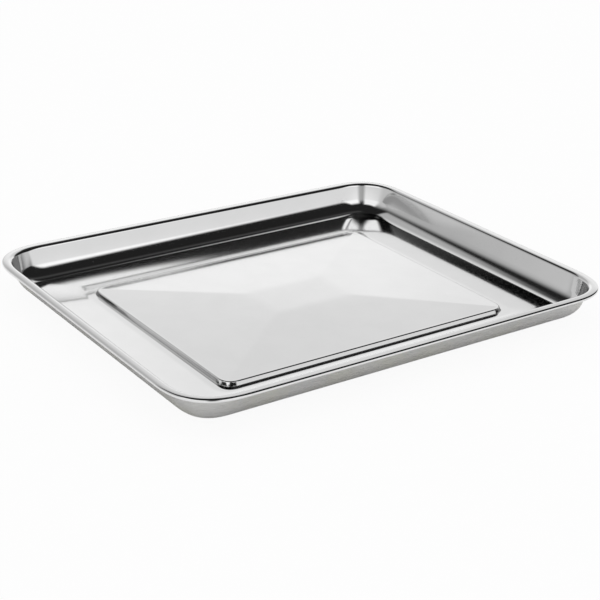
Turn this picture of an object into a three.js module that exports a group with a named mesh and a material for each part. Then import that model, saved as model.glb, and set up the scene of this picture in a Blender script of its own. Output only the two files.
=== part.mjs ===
// A shallow print tray pressed from one stainless-steel sheet, with a wire rolled into its rim.
// Millimetres, +Z up, +X along the long side. The origin is on the resting plane, under the centre.
import * as THREE from 'three';

const rad = THREE.MathUtils.degToRad;

// Overall size
const LENGTH = 380;
const WIDTH = 305;
const HEIGHT = 26.5;
const CORNER_RADIUS = 37;
const SHEET = 0.5;

// Rim: a curled bead, a flat ledge and a bend into the wall
const BEAD_RADIUS = 1.5;
const LEDGE_WIDTH = 7;
const RIM_BEND_RADIUS = 3.2;

// Wall: straight and leaning outwards, with a wide rounded foot
const WALL_ANGLE = rad(73);
const FOOT_RADIUS = 16;
const FOOT_END_ANGLE = rad(5.2);

// Floor margin: it drops gently from the wall's foot, then runs level to the panel. The fold
// between the two lies at this share of the way across.
const MARGIN_RISE = 2;
const MARGIN_FOLD = 0.84;

// Raised panel: a steep step all round, then four shallow slopes up to a flat middle
const PANEL = { halfLength: 127, halfWidth: 95.5, cornerRadius: 9 };
const STEP_HEIGHT = 3.3;
const STEP_ANGLE = rad(66);
const STEP_FOOT_RADIUS = 0.6;
const STEP_TOP_RADIUS = 1.2;
const MIDDLE = { halfLength: 35, halfWidth: 21.5, cornerRadius: 3 };
const MIDDLE_HEIGHT = 6.9;

// Stiffening wire inside the bead
const WIRE_GAP = 0.3;
const WIRE_SIDES = 8;

// Plan corners: each is a superellipse, reaching a little further along the sides than its nominal
// radius so that its turn eases in and out
const CORNER_POWER = 2.6;
const CORNER_REACH = 1.25;

// Facets in each plan corner, and in each rounded stretch of the section
const CORNER_STEPS = 8;
const CURL_STEPS = 9;
const RIM_BEND_STEPS = 4;
const FOOT_STEPS = 5;
const STEP_FOOT_STEPS = 3;
const STEP_TOP_STEPS = 2;

const RIM = { halfLength: LENGTH / 2, halfWidth: WIDTH / 2, cornerRadius: CORNER_RADIUS };
const BEAD_CENTRE = { inset: BEAD_RADIUS, z: HEIGHT - BEAD_RADIUS };
const FLOOR_TOP = SHEET;
const PANEL_TOP = FLOOR_TOP + STEP_HEIGHT;

function insetOutline({ halfLength, halfWidth, cornerRadius }, inset) {
  return {
    halfLength: halfLength - inset,
    halfWidth: halfWidth - inset,
    cornerRadius: cornerRadius - inset,
  };
}

function outlineBetween(outer, inner, share) {
  return {
    halfLength: THREE.MathUtils.lerp(outer.halfLength, inner.halfLength, share),
    halfWidth: THREE.MathUtils.lerp(outer.halfWidth, inner.halfWidth, share),
    cornerRadius: THREE.MathUtils.lerp(outer.cornerRadius, inner.cornerRadius, share),
  };
}

function signedPower(number, exponent) {
  return Math.sign(number) * Math.abs(number) ** exponent;
}

// A ring of points at one level: an outline drawn in by an inset, anticlockwise from above.
function ring(outline, inset, z) {
  const reach = (outline.cornerRadius - inset) * CORNER_REACH;
  const cornerX = outline.halfLength - inset - reach;
  const cornerY = outline.halfWidth - inset - reach;
  const points = [];
  for (let quarter = 0; quarter < 4; quarter += 1) {
    const middle = (quarter + 0.5) * Math.PI / 2;
    for (let step = 0; step <= CORNER_STEPS; step += 1) {
      const turn = (quarter + step / CORNER_STEPS) * Math.PI / 2;
      const x = cornerX * Math.sign(Math.cos(middle));
      const y = cornerY * Math.sign(Math.sin(middle));
      const alongX = reach * signedPower(Math.cos(turn), 2 / CORNER_POWER);
      const alongY = reach * signedPower(Math.sin(turn), 2 / CORNER_POWER);
      points.push(new THREE.Vector3(x + alongX, y + alongY, z));
    }
  }
  return points;
}

// A station is a place on the sheet's middle line, with the direction its upper face looks in.
function station(outline, inset, z, facing) {
  return { outline, inset, z, facing };
}

// Stations round a bend. side is +1 where the upper face is outside the bend, -1 where inside.
function bend(outline, centre, faceRadius, side, from, to, steps) {
  const radius = faceRadius - side * SHEET / 2;
  const stations = [];
  for (let step = 0; step <= steps; step += 1) {
    const facing = from + (to - from) * step / steps;
    const inset = centre.inset + side * radius * Math.cos(facing);
    const z = centre.z + side * radius * Math.sin(facing);
    stations.push(station(outline, inset, z, facing));
  }
  return stations;
}

function curlStations() {
  return bend(RIM, BEAD_CENTRE, BEAD_RADIUS, 1, 0, rad(-270), CURL_STEPS);
}

function rimBendStations() {
  const centre = {
    inset: LEDGE_WIDTH - RIM_BEND_RADIUS * Math.tan(WALL_ANGLE / 2),
    z: HEIGHT - RIM_BEND_RADIUS,
  };
  return bend(RIM, centre, RIM_BEND_RADIUS, 1, rad(90), rad(90) - WALL_ANGLE, RIM_BEND_STEPS);
}

function footCentre() {
  const z = FLOOR_TOP + MARGIN_RISE + FOOT_RADIUS * Math.cos(FOOT_END_ANGLE);
  const wallHeight = HEIGHT - z + FOOT_RADIUS * Math.cos(WALL_ANGLE);
  const wallRun = wallHeight / Math.tan(WALL_ANGLE);
  return { inset: LEDGE_WIDTH + wallRun + FOOT_RADIUS * Math.sin(WALL_ANGLE), z };
}

function footStations() {
  const from = rad(90) - WALL_ANGLE;
  return bend(RIM, footCentre(), FOOT_RADIUS, -1, from, rad(90) - FOOT_END_ANGLE, FOOT_STEPS);
}

function stepFootCentre() {
  const stepRun = STEP_HEIGHT / Math.tan(STEP_ANGLE);
  return {
    inset: -stepRun - STEP_FOOT_RADIUS * Math.tan(STEP_ANGLE / 2),
    z: FLOOR_TOP + STEP_FOOT_RADIUS,
  };
}

// The fold in the floor margin, on an outline part of the way from the wall's foot to the panel's.
function marginFoldStation() {
  const wallFoot = insetOutline(RIM, footCentre().inset - FOOT_RADIUS * Math.sin(FOOT_END_ANGLE));
  const panelFoot = insetOutline(PANEL, stepFootCentre().inset);
  const fold = outlineBetween(wallFoot, panelFoot, MARGIN_FOLD);
  return station(fold, 0, FLOOR_TOP - SHEET / 2, rad(90));
}

function stepFootStations() {
  const to = rad(90) + STEP_ANGLE;
  return bend(PANEL, stepFootCentre(), STEP_FOOT_RADIUS, -1, rad(90), to, STEP_FOOT_STEPS);
}

function stepTopStations() {
  const centre = {
    inset: STEP_TOP_RADIUS * Math.tan(STEP_ANGLE / 2),
    z: PANEL_TOP - STEP_TOP_RADIUS,
  };
  return bend(PANEL, centre, STEP_TOP_RADIUS, 1, rad(90) + STEP_ANGLE, rad(90), STEP_TOP_STEPS);
}

function middleStation() {
  return station(MIDDLE, 0, MIDDLE_HEIGHT - SHEET / 2, rad(90));
}

// One face of the sheet: each station moved half a thickness along, or against, its facing.
function sheetFace(stations, side) {
  return stations.map(({ outline, inset, z, facing }) => {
    const shift = side * SHEET / 2;
    return ring(outline, inset + shift * Math.cos(facing), z + shift * Math.sin(facing));
  });
}

// Joins each ring to the next with two triangles a facet.
function joinRings(rings, closed) {
  const positions = rings.flat().flatMap((point) => point.toArray());
  const count = rings[0].length;
  const index = [];
  const bands = closed ? rings.length : rings.length - 1;
  for (let band = 0; band < bands; band += 1) {
    const outer = band * count;
    const inner = ((band + 1) % rings.length) * count;
    for (let i = 0; i < count; i += 1) {
      const next = (i + 1) % count;
      index.push(outer + i, outer + next, inner + i);
      index.push(outer + next, inner + next, inner + i);
    }
  }
  return { positions, index, count };
}

// Closes a ring with a fan of triangles round its own centre.
function capRing(mesh, firstVertex, z, facesUp) {
  const centre = mesh.positions.length / 3;
  mesh.positions.push(0, 0, z);
  for (let i = 0; i < mesh.count; i += 1) {
    const here = firstVertex + i;
    const next = firstVertex + (i + 1) % mesh.count;
    mesh.index.push(centre, facesUp ? here : next, facesUp ? next : here);
  }
}

function toGeometry({ positions, index }) {
  const geometry = new THREE.BufferGeometry();
  geometry.setAttribute('position', new THREE.Float32BufferAttribute(positions, 3));
  geometry.setIndex(index);
  geometry.computeVertexNormals();
  return geometry;
}

// The pressed sheet: its under face from the middle out to the curl, then its upper face back in.
function panGeometry() {
  const stations = [
    ...curlStations(),
    ...rimBendStations(),
    ...footStations(),
    marginFoldStation(),
    ...stepFootStations(),
    ...stepTopStations(),
    middleStation(),
  ];
  const under = sheetFace(stations, -1).reverse();
  const upper = sheetFace(stations, 1);
  const mesh = joinRings([...under, ...upper], false);
  const lastRing = (under.length + upper.length - 1) * mesh.count;
  capRing(mesh, 0, MIDDLE_HEIGHT - SHEET, false);
  capRing(mesh, lastRing, MIDDLE_HEIGHT, true);
  return toGeometry(mesh);
}

// The wire: one endless ring of round bar, lying free inside the bead.
function wireGeometry() {
  const radius = BEAD_RADIUS - SHEET - WIRE_GAP;
  const rings = [];
  for (let side = 0; side < WIRE_SIDES; side += 1) {
    const angle = -2 * Math.PI * side / WIRE_SIDES;
    const inset = BEAD_CENTRE.inset + radius * Math.cos(angle);
    rings.push(ring(RIM, inset, BEAD_CENTRE.z + radius * Math.sin(angle)));
  }
  return toGeometry(joinRings(rings, true));
}

function polishedSteel() {
  return new THREE.MeshStandardMaterial({ color: 0xd9dbdc, roughness: 0.1, metalness: 1 });
}

function drawnWire() {
  return new THREE.MeshStandardMaterial({ color: 0x9a9c9e, roughness: 0.45, metalness: 1 });
}

function piece(name, geometry, material) {
  const mesh = new THREE.Mesh(geometry, material);
  mesh.name = name;
  return mesh;
}

const tray = new THREE.Group();
tray.name = 'tray';
tray.add(piece('tray_pan', panGeometry(), polishedSteel()));
tray.add(piece('rim_wire', wireGeometry(), drawnWire()));

export default tray;
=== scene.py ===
"""A pressed stainless-steel print tray: fine surfaces, polished-steel materials and a small studio."""

import math

import bpy
from mathutils import Matrix, Vector


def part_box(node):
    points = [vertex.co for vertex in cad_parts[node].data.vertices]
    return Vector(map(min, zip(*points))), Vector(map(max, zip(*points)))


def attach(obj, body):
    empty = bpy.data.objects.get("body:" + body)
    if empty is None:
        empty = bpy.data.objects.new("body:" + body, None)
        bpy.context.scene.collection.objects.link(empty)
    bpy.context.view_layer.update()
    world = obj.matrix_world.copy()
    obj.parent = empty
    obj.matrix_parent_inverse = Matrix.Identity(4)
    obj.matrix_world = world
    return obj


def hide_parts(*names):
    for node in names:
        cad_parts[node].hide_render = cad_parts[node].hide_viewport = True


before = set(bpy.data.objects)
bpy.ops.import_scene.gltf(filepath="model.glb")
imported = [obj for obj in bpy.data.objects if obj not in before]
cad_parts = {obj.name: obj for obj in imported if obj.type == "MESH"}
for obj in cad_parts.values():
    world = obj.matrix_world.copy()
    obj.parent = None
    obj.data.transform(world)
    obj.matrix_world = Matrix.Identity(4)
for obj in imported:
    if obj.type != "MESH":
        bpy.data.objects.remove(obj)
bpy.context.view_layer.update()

MM = 0.001
RIGHT_ANGLE = math.pi / 2
_, PAN_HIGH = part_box("tray_pan")
HEIGHT = PAN_HIGH.z
SHEET = 0.5 * MM

# Rim: a curled bead round a wire, a ledge that leans out a little at its outer edge, and a bend
RIM_CORNER = 37 * MM
BEAD_RADIUS = 1.5 * MM
WIRE_GAP = 0.3 * MM
LEDGE_WIDTH = 7 * MM
LEDGE_CROWN = math.radians(15)
RIM_BEND_RADIUS = 3.2 * MM

# Wall: it leans outwards, a little steeper at its top and flatter at its foot
WALL_ANGLE = math.radians(73)
WALL_BOW = math.radians(1.5)
FOOT_RADIUS = 16 * MM
FOOT_END_ANGLE = math.radians(5.2)

# Floor margin: it falls from the wall's foot to a soft fold, then runs level to the panel. The fold
# and its softness are shares of the margin's width, and the sag is a share of its rise.
FLOOR_TOP = SHEET
MARGIN_RISE = 2.0 * MM
MARGIN_FOLD = 0.84
FOLD_SOFTNESS = 0.04
MARGIN_SAG = 0.05

# Raised panel: a steep step all round, then four shallow slopes up to a flat middle
PANEL_CORNER = 9 * MM
STEP_HEIGHT = 3.3 * MM
STEP_ANGLE = math.radians(66)
STEP_FOOT_RADIUS = 0.6 * MM
STEP_TOP_RADIUS = 1.2 * MM
PANEL_TOP = FLOOR_TOP + STEP_HEIGHT
MIDDLE_CORNER = 3 * MM
MIDDLE_HEIGHT = 6.9 * MM
RIDGE_SOFTNESS = 0.07 * MM
LEAST_SOFTNESS = 0.0001 * MM

# Plan corners: each is a superellipse whose turn eases in and out, through the same corner point as
# a circular arc of its nominal radius
CORNER_POWER = 2.6
CORNER_REACH = 1.25

# Fineness: steps in each rounded stretch, rings over each wide one, and the distance to either side
# over which the slopes' normals are measured
CORNER_STEPS = 40
CURL_STEPS = 36
RIM_BEND_STEPS = 14
FOOT_STEPS = 36
STEP_FOOT_STEPS = 12
STEP_TOP_STEPS = 8
WIRE_SIDES = 24
MARGIN_RINGS = 50
SLOPE_RINGS = 44
MIDDLE_SHARES = (0.8, 0.6, 0.4, 0.2, 0.08)
NORMAL_REACH = 0.2 * MM

# Relief of the metals
SWELL_DEPTH = 0.05 * MM
GRAIN_DEPTH = 0.00002 * MM
BRUSH_DEPTH = 0.004 * MM
DRAWING_DEPTH = 0.01 * MM

# Studio: brightness with white as 1. Its light has a dark gap near the camera, whose azimuth is
# clockwise from +Y. A mirrored ray is deeper than these depths from its second, and from its third,
# reflection on.
GAP_AZIMUTH = math.radians(199)
DARK_ROOM = 0.014
BACKGROUND = 1.0
DIFFUSE_LIGHT = 0.92
LATER_REFLECTIONS = 0.17
SECOND_REFLECTION_DEPTH = 2.5
THIRD_REFLECTION_DEPTH = 3.5

# Floor: a large square just under the tray, with this share of its look lit from within
FLOOR_REACH = 4.0
FLOOR_DROP = 0.2 * MM
FLOOR_GLOW = 0.93

# Camera: it looks at a point over the origin, and is then moved sideways and up. Its azimuth is
# anticlockwise from looking along +Y, and its focal length is a share of the picture's width.
CAMERA_AZIMUTH = math.radians(-36.04)
CAMERA_ELEVATION = math.radians(23.39)
CAMERA_ROLL = math.radians(-2.22)
CAMERA_DISTANCE = 1.106
CAMERA_TARGET_HEIGHT = 1.1 * MM
CAMERA_SHIFT_RIGHT = 1.35 * MM
CAMERA_SHIFT_UP = 0.7 * MM
FOCAL_SHARE = 2.380
SENSOR_WIDTH = 36


class Outline:
    """A rounded rectangle centred on the origin."""

    def __init__(self, half_length, half_width, corner):
        self.half_length = half_length
        self.half_width = half_width
        self.corner = corner


RIM = Outline(PAN_HIGH.x, PAN_HIGH.y, RIM_CORNER)
PANEL = Outline(127 * MM, 95.5 * MM, PANEL_CORNER)
MIDDLE = Outline(35 * MM, 21.5 * MM, MIDDLE_CORNER)


def shrunk(outline, inset):
    return Outline(outline.half_length - inset, outline.half_width - inset, outline.corner - inset)


def outline_between(outer, inner, share):
    return Outline(
        outer.half_length + (inner.half_length - outer.half_length) * share,
        outer.half_width + (inner.half_width - outer.half_width) * share,
        outer.corner + (inner.corner - outer.corner) * share,
    )


def signed_power(number, exponent):
    """The power of a number's size, with the number's own sign."""
    return math.copysign(abs(number) ** exponent, number)


def corner_directions(turn):
    """The way from a corner's centre to its curve, for a reach of 1, and the way square to the curve."""
    across = math.cos(turn)
    along = math.sin(turn)
    place_power = 2 / CORNER_POWER
    away = Vector((signed_power(across, place_power), signed_power(along, place_power), 0))
    out = Vector((signed_power(across, 2 - place_power), signed_power(along, 2 - place_power), 0))
    return away, out.normalized()


def ring(outline, inset, z, facing):
    """One level of the outline, drawn in by an inset: its points, and the sheet's upward normals."""
    points = []
    reach = (outline.corner - inset) * CORNER_REACH
    for quarter in range(4):
        start = quarter * RIGHT_ANGLE
        middle = start + RIGHT_ANGLE / 2
        centre_x = math.copysign(outline.half_length - inset - reach, math.cos(middle))
        centre_y = math.copysign(outline.half_width - inset - reach, math.sin(middle))
        for step in range(CORNER_STEPS + 1):
            away, out = corner_directions(start + RIGHT_ANGLE * step / CORNER_STEPS)
            place = Vector((centre_x, centre_y, z)) + away * reach
            normal = -out * math.cos(facing) + Vector((0, 0, math.sin(facing)))
            points.append((place, normal))
    return points


def bend(outline, centre, face_radius, side, start, end, steps):
    """Stations on the sheet's middle line round a bend, each with the angle its upper face looks at.

    side is +1 where the upper face is outside the bend, and -1 where it is inside.
    """
    radius = face_radius - side * SHEET / 2
    stations = []
    for step in range(steps + 1):
        facing = start + (end - start) * step / steps
        inset = centre[0] + side * radius * math.cos(facing)
        z = centre[1] + side * radius * math.sin(facing)
        stations.append((outline, inset, z, facing))
    return stations


def curl_stations():
    centre = (BEAD_RADIUS, HEIGHT - BEAD_RADIUS)
    end = LEDGE_CROWN - 3 * RIGHT_ANGLE
    return bend(RIM, centre, BEAD_RADIUS, 1, 0, end, CURL_STEPS)


def rim_bend_stations():
    inset = LEDGE_WIDTH - RIM_BEND_RADIUS * math.tan(WALL_ANGLE / 2)
    centre = (inset, HEIGHT - RIM_BEND_RADIUS)
    end = RIGHT_ANGLE - WALL_ANGLE - WALL_BOW
    return bend(RIM, centre, RIM_BEND_RADIUS, 1, RIGHT_ANGLE, end, RIM_BEND_STEPS)


def foot_centre():
    z = FLOOR_TOP + MARGIN_RISE + FOOT_RADIUS * math.cos(FOOT_END_ANGLE)
    wall_foot_z = z - FOOT_RADIUS * math.cos(WALL_ANGLE)
    wall_foot = LEDGE_WIDTH + (HEIGHT - wall_foot_z) / math.tan(WALL_ANGLE)
    return wall_foot + FOOT_RADIUS * math.sin(WALL_ANGLE), z


def foot_stations():
    start = RIGHT_ANGLE - WALL_ANGLE + WALL_BOW
    end = RIGHT_ANGLE - FOOT_END_ANGLE
    return bend(RIM, foot_centre(), FOOT_RADIUS, -1, start, end, FOOT_STEPS)


def step_foot_centre():
    step_run = STEP_HEIGHT / math.tan(STEP_ANGLE)
    inset = -step_run - STEP_FOOT_RADIUS * math.tan(STEP_ANGLE / 2)
    return inset, FLOOR_TOP + STEP_FOOT_RADIUS


def step_foot_stations():
    end = RIGHT_ANGLE + STEP_ANGLE
    return bend(PANEL, step_foot_centre(), STEP_FOOT_RADIUS, -1, RIGHT_ANGLE, end, STEP_FOOT_STEPS)


def step_top_inset():
    return STEP_TOP_RADIUS * math.tan(STEP_ANGLE / 2)


def step_top_stations():
    centre = (step_top_inset(), PANEL_TOP - STEP_TOP_RADIUS)
    start = RIGHT_ANGLE + STEP_ANGLE
    return bend(PANEL, centre, STEP_TOP_RADIUS, 1, start, RIGHT_ANGLE, STEP_TOP_STEPS)


def face_rings(stations, side):
    """One face of the sheet: each station moved half a thickness along, or against, its facing."""
    rings = []
    shift = side * SHEET / 2
    for outline, inset, z, facing in stations:
        z_face = z + shift * math.sin(facing)
        rings.append(ring(outline, inset + shift * math.cos(facing), z_face, facing))
    return rings


def margin_profile(share):
    """The floor margin's height and fall at a share of the way from the wall (0) to the panel (1).

    Both are in units of the margin's rise.
    """
    run = share / MARGIN_FOLD
    height = 1 - run - 4 * MARGIN_SAG * run * (1 - run)
    slope = (1 + 4 * MARGIN_SAG * (1 - 2 * run)) / MARGIN_FOLD
    fold_slope = (1 - 4 * MARGIN_SAG) / MARGIN_FOLD
    past = (share - MARGIN_FOLD + FOLD_SOFTNESS) / (2 * FOLD_SOFTNESS)
    if past <= 0:
        return height, slope
    left = max(1 - past, 0)
    return fold_slope * FOLD_SOFTNESS * left * left, fold_slope * left


def margin_ring(outer, inner, share, side):
    """One level of the floor margin, its normals tilted as much as the margin falls there."""
    height, slope = margin_profile(share)
    z = FLOOR_TOP - SHEET / 2 + MARGIN_RISE * height + side * SHEET / 2
    level = ring(outline_between(outer, inner, share), 0, z, RIGHT_ANGLE)
    begin = ring(outer, 0, z, 0)
    end = ring(inner, 0, z, 0)
    points = []
    for (place, _), (far, inward), (near, _) in zip(level, begin, end):
        run = (near - far).dot(inward)
        normal = Vector((0, 0, 1)) + inward * (MARGIN_RISE * slope / run)
        points.append((place, normal.normalized()))
    return points


def margin_rings(side):
    """One face of the sheet between the wall's foot and the step's foot."""
    outer_inset = foot_centre()[0] - FOOT_RADIUS * math.sin(FOOT_END_ANGLE)
    outer = shrunk(RIM, outer_inset)
    inner = shrunk(PANEL, step_foot_centre()[0])
    shares = [step / MARGIN_RINGS for step in range(1, MARGIN_RINGS)]
    return [margin_ring(outer, inner, share, side) for share in shares]


def slope_height(x, y):
    """Height of the panel's four slopes and flat middle above its edge, with softened ridges."""
    rise = MIDDLE_HEIGHT - PANEL_TOP
    along = rise * (PANEL.half_length - abs(x)) / (PANEL.half_length - MIDDLE.half_length)
    across = rise * (PANEL.half_width - abs(y)) / (PANEL.half_width - MIDDLE.half_width)
    lowest = min(along, across, rise)
    softness = RIDGE_SOFTNESS * max(lowest, 0) / rise
    if softness < LEAST_SOFTNESS:
        return lowest
    total = sum(math.exp((lowest - level) / softness) for level in (along, across, rise))
    return lowest - softness * math.log(total)


def slope_point(x, y, lift):
    rise_x = slope_height(x + NORMAL_REACH, y) - slope_height(x - NORMAL_REACH, y)
    rise_y = slope_height(x, y + NORMAL_REACH) - slope_height(x, y - NORMAL_REACH)
    normal = Vector((-rise_x, -rise_y, 2 * NORMAL_REACH)).normalized()
    return Vector((x, y, PANEL_TOP + slope_height(x, y) + lift)), normal


def slope_rings(lift):
    """Rings from just inside the panel's step to its centre, on the upper or the under face."""
    rings = []
    edge = ring(PANEL, step_top_inset(), 0, RIGHT_ANGLE)
    heart = ring(MIDDLE, 0, 0, RIGHT_ANGLE)
    for step in range(1, SLOPE_RINGS + 1):
        points = []
        for (outer, _), (inner, _) in zip(edge, heart):
            place = outer.lerp(inner, step / SLOPE_RINGS)
            points.append(slope_point(place.x, place.y, lift))
        rings.append(points)
    for share in MIDDLE_SHARES:
        rings.append([slope_point(place.x * share, place.y * share, lift) for place, _ in heart])
    return rings


def ring_faces(ring_count, point_count, closed):
    """Quads from each ring to the next. The last ring meets the first if closed, or both are filled."""
    faces = []
    bands = ring_count if closed else ring_count - 1
    for band in range(bands):
        outer = band * point_count
        inner = (band + 1) % ring_count * point_count
        for i in range(point_count):
            after = (i + 1) % point_count
            faces.append((outer + i, outer + after, inner + after, inner + i))
    if not closed:
        total = ring_count * point_count
        faces.append(tuple(reversed(range(point_count))))
        faces.append(tuple(range(total - point_count, total)))
    return faces


def build_piece(name, rings, normal_signs, closed):
    """A skin over rings of equal length, with exact normals at its points."""
    points = [place for level in rings for place, _ in level]
    normals = [normal * sign for level, sign in zip(rings, normal_signs) for _, normal in level]
    mesh = bpy.data.meshes.new(name)
    mesh.from_pydata(points, [], ring_faces(len(rings), len(rings[0]), closed))
    mesh.update()
    mesh.shade_smooth()
    mesh.normals_split_custom_set_from_vertices(normals)
    piece = bpy.data.objects.new(name, mesh)
    bpy.context.scene.collection.objects.link(piece)
    return piece


def build_pan():
    """The pressed sheet, and how many of its points, which come first, are on its under face."""
    outside = curl_stations() + rim_bend_stations() + foot_stations()
    inside = step_foot_stations() + step_top_stations()
    under = face_rings(outside, -1) + margin_rings(-1) + face_rings(inside, -1) + slope_rings(-SHEET)
    upper = face_rings(outside, 1) + margin_rings(1) + face_rings(inside, 1) + slope_rings(0)
    under.reverse()
    signs = [-1] * len(under) + [1] * len(upper)
    pan = build_piece("tray_sheet", under + upper, signs, False)
    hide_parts("tray_pan")
    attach(pan, "root")
    return pan, len(under) * len(under[0])


def build_wire():
    radius = BEAD_RADIUS - SHEET - WIRE_GAP
    rings = []
    for side in range(WIRE_SIDES):
        angle = -2 * math.pi * side / WIRE_SIDES
        inset = BEAD_RADIUS + radius * math.cos(angle)
        z = HEIGHT - BEAD_RADIUS + radius * math.sin(angle)
        rings.append(ring(RIM, inset, z, math.pi + angle))
    wire = build_piece("rim_wire_bar", rings, [-1] * WIRE_SIDES, True)
    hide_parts("rim_wire")
    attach(wire, "root")
    return wire


class Formula:
    """Writes arithmetic as nodes. Every value is a number or the output of a node."""

    def __init__(self, tree):
        self.tree = tree

    def feed(self, socket, value):
        if isinstance(value, (int, float, tuple)):
            socket.default_value = value
        else:
            self.tree.links.new(value, socket)

    def node(self, kind, **inputs):
        made = self.tree.nodes.new(kind)
        for name, value in inputs.items():
            self.feed(made.inputs[name.replace("_", " ")], value)
        return made

    def math(self, operation, first, second=0.0):
        made = self.tree.nodes.new("ShaderNodeMath")
        made.operation = operation
        self.feed(made.inputs[0], first)
        self.feed(made.inputs[1], second)
        return made.outputs[0]

    def add(self, first, second):
        return self.math("ADD", first, second)

    def minus(self, first, second):
        return self.math("SUBTRACT", first, second)

    def times(self, first, *others):
        for other in others:
            first = self.math("MULTIPLY", first, other)
        return first

    def brighter(self, first, *others):
        for other in others:
            first = self.math("MAXIMUM", first, other)
        return first

    def least(self, first, second):
        return self.math("MINIMUM", first, second)

    def unsigned(self, value):
        return self.math("ABSOLUTE", value)

    def angle(self, upright, along):
        """The angle whose tangent is upright / along, in degrees."""
        return self.times(self.math("ARCTAN2", upright, along), math.degrees(1))

    def ramp(self, value, start, end, low=0.0, high=1.0):
        """Eases from low, where the value is start, to high, where it is end."""
        made = self.node(
            "ShaderNodeMapRange",
            Value=value,
            From_Min=start,
            From_Max=end,
            To_Min=low,
            To_Max=high,
        )
        made.interpolation_type = "SMOOTHSTEP"
        return made.outputs["Result"]

    def fade(self, value, start, end):
        """Eases from 1, where the value is start, to 0, where it is end."""
        return self.ramp(value, start, end, 1, 0)

    def grey(self, brightness):
        made = self.node("ShaderNodeCombineColor", Red=brightness, Green=brightness, Blue=brightness)
        return made.outputs["Color"]

    def noise(self, vector, scale, detail):
        made = self.node("ShaderNodeTexNoise", Vector=vector, Scale=scale, Detail=detail)
        return made.outputs["Fac"]

    def position(self, stretch=(1.0, 1.0, 1.0)):
        """The object's own coordinates, in metres, stretched along the axes."""
        coordinates = self.tree.nodes.new("ShaderNodeTexCoord")
        made = self.tree.nodes.new("ShaderNodeVectorMath")
        made.operation = "MULTIPLY"
        self.feed(made.inputs[0], coordinates.outputs["Object"])
        self.feed(made.inputs[1], stretch)
        return made.outputs[0]

    def relief(self, height):
        """Normals of a surface raised by a height in metres."""
        made = self.node("ShaderNodeBump", Height=height, Distance=1.0)
        return made.outputs["Normal"]

    def light_path(self, name):
        return self.tree.nodes.new("ShaderNodeLightPath").outputs[name]


def new_material(name):
    material = bpy.data.materials.new(name)
    material.use_nodes = True
    return material, Formula(material.node_tree), material.node_tree.nodes["Principled BSDF"]


def make_metal(f, shader, colour, roughness, height):
    f.feed(shader.inputs["Metallic"], 1.0)
    f.feed(shader.inputs["Base Color"], colour)
    f.feed(shader.inputs["Roughness"], roughness)
    f.feed(shader.inputs["Normal"], f.relief(height))


def polished_steel():
    """Bright sheet with a wide swell, a fine grain along its length and cloudy patches."""
    material, f, shader = new_material("polished_steel")
    swell = f.noise(f.position(), scale=16.0, detail=1.0)
    grain = f.noise(f.position(stretch=(0.35, 1.0, 1.0)), scale=5200.0, detail=2.0)
    clouds = f.noise(f.position(), scale=45.0, detail=4.0)
    colour = f.grey(f.ramp(clouds, 0.3, 0.7, low=0.965, high=0.985))
    roughness = f.ramp(grain, 0.3, 0.75, low=0.05, high=0.11)
    height = f.add(f.times(swell, SWELL_DEPTH), f.times(grain, GRAIN_DEPTH))
    make_metal(f, shader, colour, roughness, height)
    return material


def brushed_steel():
    """Duller sheet with level brush lines and slightly warm patches."""
    material, f, shader = new_material("brushed_steel")
    lines = f.noise(f.position(stretch=(0.03, 0.03, 1.0)), scale=3600.0, detail=3.0)
    patches = f.noise(f.position(), scale=30.0, detail=3.0)
    tone = f.ramp(lines, 0.3, 0.7, low=0.70, high=0.80)
    green = f.times(tone, 0.995)
    blue = f.times(tone, f.ramp(patches, 0.35, 0.65, low=0.99, high=0.93))
    colour = f.node("ShaderNodeCombineColor", Red=tone, Green=green, Blue=blue).outputs["Color"]
    roughness = f.ramp(lines, 0.25, 0.75, low=0.26, high=0.36)
    make_metal(f, shader, colour, roughness, f.times(lines, BRUSH_DEPTH))
    return material


def drawn_wire():
    """Dull wire, mottled by drawing."""
    material, f, shader = new_material("drawn_wire")
    mottle = f.noise(f.position(), scale=900.0, detail=3.0)
    colour = f.grey(f.ramp(mottle, 0.3, 0.7, low=0.42, high=0.52))
    roughness = f.ramp(mottle, 0.3, 0.7, low=0.38, high=0.5)
    make_metal(f, shader, colour, roughness, f.times(mottle, DRAWING_DEPTH))
    return material


def finish_pan(pan, under_points):
    """The inside and the bead are polished, the outside and the underside brushed."""
    pan.data.materials.append(polished_steel())
    pan.data.materials.append(brushed_steel())
    for face in pan.data.polygons:
        face.material_index = 1 if max(face.vertices) < under_points else 0


class Sight:
    """The direction that a ray leaves the tray in, as node values, with angles in degrees.

    height is above the horizon. up_from_front and up_from_left turn from that horizon, through
    overhead, to the opposite one. turn is 0 at the dark gap and grows round to the left, -X.
    """

    def __init__(self, f, x, y, z):
        self.x = x
        self.y = y
        self.z = z
        self.height = f.times(f.math("ARCSINE", z), math.degrees(1))
        self.up_from_front = f.angle(z, f.times(y, -1))
        self.up_from_left = f.angle(z, f.times(x, -1))
        left = f.add(f.times(x, math.cos(GAP_AZIMUTH)), f.times(y, -math.sin(GAP_AZIMUTH)))
        ahead = f.add(f.times(x, math.sin(GAP_AZIMUTH)), f.times(y, math.cos(GAP_AZIMUTH)))
        self.turn = f.angle(left, ahead)


def right_box(f, sight, level):
    """A soft box right of the gap: its top falls to the right, where a low dim strip goes on."""
    top = f.least(f.minus(79, f.times(sight.x, 100)), 42)
    box = f.times(level, f.fade(f.minus(sight.up_from_front, top), -8.5, 8.5))
    strip = f.ramp(sight.height, 5, 12, low=0.5, high=0)
    return f.brighter(box, f.times(strip, f.ramp(sight.turn, -96, -70, low=0.3)))


def left_box(f, sight, level):
    return f.times(level, 0.9, f.fade(sight.height, 46, 58))


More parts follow.
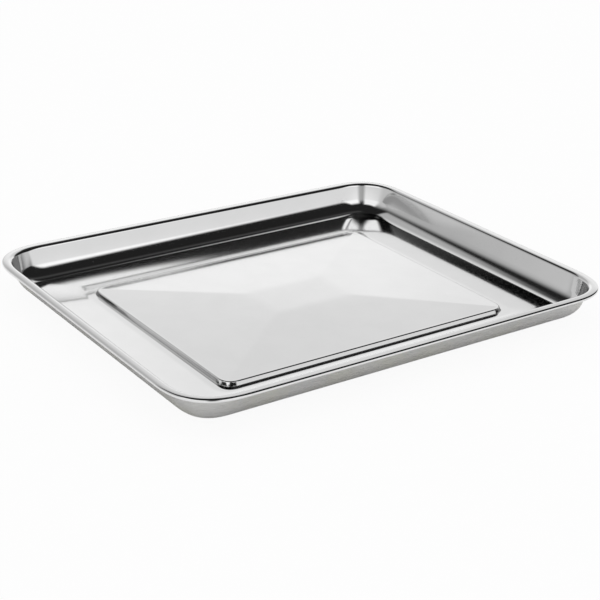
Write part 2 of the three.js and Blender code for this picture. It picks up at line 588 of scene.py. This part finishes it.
def left_wall(f, sight):
    """The dim wall of the room, left of the boxes."""
    tone = f.ramp(sight.turn, 109, 117, low=0.5, high=0.38)
    return f.ramp(sight.up_from_left, 28, 62, low=tone, high=0)


def near_light(f, sight):
    """The two soft boxes either side of the camera, the dark gap between them, and the wall."""
    level = f.ramp(sight.height, 8.5, 24, low=0.68, high=0.98)
    left_side = f.ramp(sight.turn, 70, 92, low=left_box(f, sight, level), high=left_wall(f, sight))
    both = f.ramp(sight.turn, -4, 4, low=right_box(f, sight, level), high=left_side)
    gap_tone = f.ramp(sight.height, 8, 42, low=0.5, high=0.08)
    return f.times(both, f.ramp(f.unsigned(sight.turn), 4, 20, low=gap_tone))


def back_panel(f, sight):
    """The big bright panel behind the tray: dimmer with height and at its left, where its top falls."""
    left = f.least(sight.x, 0)
    edge = f.add(sight.z, f.times(left, left, 1.3))
    level = f.ramp(sight.height, 16.5, 30, low=0.88, high=0.665)
    level = f.times(level, f.ramp(sight.x, 0.05, 0.42, low=0.6))
    level = f.times(level, f.ramp(sight.x, 0.6, 0.67, low=1, high=0.92))
    return f.times(level, f.fade(edge, 0.715, 0.785), f.ramp(sight.y, 0.1, 0.4))


def overhead_band(f, sight):
    """A faint band across the dark ceiling, on the right."""
    off_middle = f.unsigned(f.minus(sight.up_from_front, 98))
    return f.times(f.ramp(off_middle, 0, 12, low=0.035, high=0), f.ramp(sight.x, 0.2, 0.36))


def first_light(f, sight):
    """What the first reflection shows."""
    panels = f.brighter(near_light(f, sight), back_panel(f, sight))
    return f.add(f.add(panels, overhead_band(f, sight)), DARK_ROOM)


def side_card(f, sight):
    """A card on the right, with a wedge on its top edge."""
    card = f.ramp(sight.up_from_front, 60, 65, low=0.85, high=0)
    wedge_top = f.ramp(sight.x, 0.4, 0.54, low=69.5, high=65)
    wedge = f.ramp(f.minus(sight.up_from_front, wedge_top), -2, 2, low=0.88, high=0)
    window = f.times(f.ramp(sight.turn, -54, -62), f.ramp(sight.x, 0.455, 0.505, low=1, high=0.05))
    return f.times(f.brighter(card, wedge), window)


def corner_card(f, sight):
    """A high card over the gap, which the rounded corners mirror twice. Its top rises to the left."""
    above = f.minus(sight.height, f.ramp(sight.turn, 0, 45, low=0, high=3.5))
    card = f.ramp(above, 56, 61, low=0.85, high=0)
    window = f.times(f.ramp(sight.turn, -59, -47), f.fade(sight.turn, 85, 108))
    dark_gap = f.ramp(f.unsigned(sight.turn), 3, 24, low=0.3)
    return f.times(card, window, f.ramp(sight.height, 42, 48), dark_gap)


def left_card(f, sight):
    """A low dim card, behind the tray and to the left."""
    card = f.ramp(sight.y, 0.3, 0.6, low=0, high=0.45)
    return f.times(card, f.ramp(sight.x, 0.25, 0.1), f.fade(sight.height, 38, 41))


def back_card(f, sight):
    """A card behind the tray and to the right."""
    return f.times(f.ramp(sight.up_from_front, 108, 122, low=0, high=0.7), f.ramp(sight.x, 0.2, 0.35))


def second_light(f, sight, first):
    """What the second reflection shows: it starts elsewhere, so the same studio lies differently."""
    left_share = f.ramp(sight.height, 26, 31, low=0.3, high=0.5)
    left_share = f.times(left_share, f.ramp(sight.height, 38, 43, low=1, high=0.2))
    kept = f.times(first, f.ramp(sight.x, -0.1, 0.1, low=left_share))
    cards = f.brighter(side_card(f, sight), corner_card(f, sight), left_card(f, sight))
    return f.brighter(kept, cards, back_card(f, sight))


def add_studio():
    """Light from every direction, drawn apart for the first, the second and later reflections."""
    world = bpy.data.worlds.new("studio")
    world.use_nodes = True
    world.cycles.sampling_method = "NONE"
    bpy.context.scene.world = world
    f = Formula(world.node_tree)
    coordinates = f.node("ShaderNodeTexCoord")
    parts = f.node("ShaderNodeSeparateXYZ", Vector=coordinates.outputs["Generated"])
    sight = Sight(f, *parts.outputs)
    first = first_light(f, sight)
    depth = f.light_path("Ray Depth")
    is_second = f.math("GREATER_THAN", depth, SECOND_REFLECTION_DEPTH)
    is_third = f.math("GREATER_THAN", depth, THIRD_REFLECTION_DEPTH)
    later = f.ramp(is_third, 0, 1, low=second_light(f, sight, first), high=LATER_REFLECTIONS)
    mirrored = f.ramp(is_second, 0, 1, low=first, high=later)
    is_seen = f.light_path("Is Camera Ray")
    plain = f.ramp(is_seen, 0, 1, low=DIFFUSE_LIGHT, high=BACKGROUND)
    brightness = f.ramp(f.light_path("Is Glossy Ray"), 0, 1, low=plain, high=mirrored)
    f.feed(world.node_tree.nodes["Background"].inputs["Color"], f.grey(brightness))


def pale_floor():
    """A pale matt material, mostly lit from within so that the tray's shadow on it stays faint."""
    material, f, shader = new_material("pale_floor")
    flecks = f.noise(f.position(), scale=60.0, detail=3.0)
    f.feed(shader.inputs["Base Color"], f.grey(f.ramp(flecks, 0.3, 0.7, low=0.85, high=0.88)))
    f.feed(shader.inputs["Roughness"], 0.9)
    f.feed(shader.inputs["Specular IOR Level"], 0.1)
    glow = f.node("ShaderNodeEmission", Color=(1.0, 1.0, 1.0, 1.0), Strength=1.0)
    share = f.times(f.light_path("Is Camera Ray"), FLOOR_GLOW)
    mixed = f.node("ShaderNodeMixShader", Fac=share)
    f.feed(mixed.inputs[1], shader.outputs["BSDF"])
    f.feed(mixed.inputs[2], glow.outputs["Emission"])
    f.feed(material.node_tree.nodes["Material Output"].inputs["Surface"], mixed.outputs["Shader"])
    return material


def add_floor():
    mesh = bpy.data.meshes.new("floor")
    signs = [(-1, -1), (1, -1), (1, 1), (-1, 1)]
    corners = [(x * FLOOR_REACH, y * FLOOR_REACH, -FLOOR_DROP) for x, y in signs]
    mesh.from_pydata(corners, [], [(0, 1, 2, 3)])
    mesh.materials.append(pale_floor())
    floor = bpy.data.objects.new("floor", mesh)
    bpy.context.scene.collection.objects.link(floor)


def add_camera():
    across = Vector((math.cos(CAMERA_AZIMUTH), math.sin(CAMERA_AZIMUTH), 0))
    ahead = Vector((
        -math.sin(CAMERA_AZIMUTH) * math.cos(CAMERA_ELEVATION),
        math.cos(CAMERA_AZIMUTH) * math.cos(CAMERA_ELEVATION),
        -math.sin(CAMERA_ELEVATION),
    ))
    upward = across.cross(ahead)
    right = across * math.cos(CAMERA_ROLL) - upward * math.sin(CAMERA_ROLL)
    top = across * math.sin(CAMERA_ROLL) + upward * math.cos(CAMERA_ROLL)
    data = bpy.data.cameras.new("camera")
    data.sensor_width = SENSOR_WIDTH
    data.lens = SENSOR_WIDTH * FOCAL_SHARE
    camera = bpy.data.objects.new("camera", data)
    place = right * CAMERA_SHIFT_RIGHT + top * CAMERA_SHIFT_UP - ahead * CAMERA_DISTANCE
    place.z += CAMERA_TARGET_HEIGHT
    turn = Matrix((right, top, -ahead)).transposed().to_4x4()
    camera.matrix_world = Matrix.Translation(place) @ turn
    bpy.context.scene.collection.objects.link(camera)
    bpy.context.scene.camera = camera


pan, under_points = build_pan()
finish_pan(pan, under_points)
wire = build_wire()
wire.data.materials.append(drawn_wire())
add_studio()
add_floor()
add_camera()
bpy.context.scene.view_settings.view_transform = "Standard"
